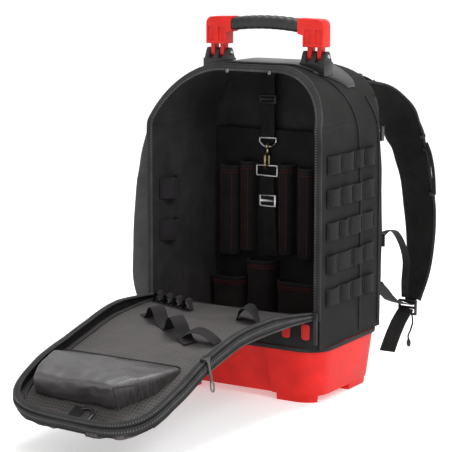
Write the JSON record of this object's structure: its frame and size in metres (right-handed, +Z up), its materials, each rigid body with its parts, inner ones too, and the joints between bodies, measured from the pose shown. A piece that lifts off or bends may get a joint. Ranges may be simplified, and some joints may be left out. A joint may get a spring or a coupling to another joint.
{
  "type": "tool backpack",
  "caption": "Backpack for hand tools with a rigid base tray, a zipped front flap that lies open, inner sleeves and pockets, padded shoulder straps and a folding top handle.",
  "frame": {"origin": "centre of the base tray's underside, where the backpack rests on the floor", "axes": "+Z up, front (opening) towards -Y, +X to the right as seen from the front"},
  "size_m": [0.3735, 0.8392, 0.5912],
  "materials": {
    "red_plastic": "moulded, satin",
    "black_plastic": "moulded, fine grain",
    "grip_rubber": "ribbed",
    "side_fabric": "coarse woven",
    "inner_fabric": "woven lining",
    "ripstop_fabric": "ripstop weave",
    "webbing": "woven webbing",
    "pad_fabric": "padded mesh",
    "zip_tape": "woven tape with moulded teeth",
    "steel": "polished",
    "brass": "polished"
  },
  "bodies": {
    "backpack": {"base_tray": "red_plastic", "sill_tab_1": "red_plastic", "sill_tab_2": "red_plastic", "sill_tab_3": "red_plastic", "sill_tab_4": "red_plastic", "top_plate": "black_plastic", "bracket_left": "black_plastic", "bracket_right": "black_plastic", "hang_slider_upper": "black_plastic", "ladder_lock_right": "black_plastic", "ladder_lock_left": "black_plastic", "zip_pull_right": "black_plastic", "flap_zip_pull": "black_plastic", "body_shell": "side_fabric", "side_pouch": "side_fabric", "flap_gusset": "side_fabric", "tool_panel": "inner_fabric", "sleeve_1": "inner_fabric", "sleeve_2": "inner_fabric", "sleeve_3": "inner_fabric", "sleeve_4": "inner_fabric", "low_pocket_left": "inner_fabric", "low_pocket_middle": "inner_fabric", "low_pocket_right": "inner_fabric", "flap_panel": "ripstop_fabric", "flap_pocket": "ripstop_fabric", "front_sill": "webbing", "base_binding": "webbing", "side_loop_1": "webbing", "side_loop_2": "webbing", "hang_strap_upper": "webbing", "hang_strap_lower": "webbing", "side_webbing_1": "webbing", "side_webbing_2": "webbing", "side_webbing_3": "webbing", "side_webbing_4": "webbing", "side_webbing_5": "webbing", "strap_webbing_right": "webbing", "strap_webbing_left": "webbing", "strap_tail_right": "webbing", "strap_tail_left": "webbing", "flap_elastic": "webbing", "back_pad_right": "pad_fabric", "back_pad_left": "pad_fabric", "lumbar_pad": "pad_fabric", "shoulder_strap_right": "pad_fabric", "shoulder_strap_left": "pad_fabric", "rim_zip_tape": "zip_tape", "flap_zip_tape": "zip_tape", "pin_left": "steel", "pin_right": "steel", "hang_d_ring": "steel", "square_ring": "steel", "hang_slider_lower": "steel", "flap_ring": "steel", "snap_hook": "brass"},
    "handle": {"handle_end_right": "red_plastic", "handle_end_left": "red_plastic", "handle_grip": "grip_rubber"},
    "gate": {"hook_gate": "brass"}
  },
  "joints": [
    {"name": "handle_fold", "type": "hinge", "parent": "backpack", "child": "handle", "pos_m": [0, 0, 0.5291], "axis": [1, 0, 0], "range_deg": [-78, 78]},
    {"name": "gate_swing", "type": "hinge", "parent": "backpack", "child": "gate", "pos_m": [-0.046, 0.0733, 0.3453], "axis": [1, 0, 0], "range_deg": [-18, 0], "stiffness_Nm_per_rad": 0.02, "springref_deg": 5.73}
  ]
}
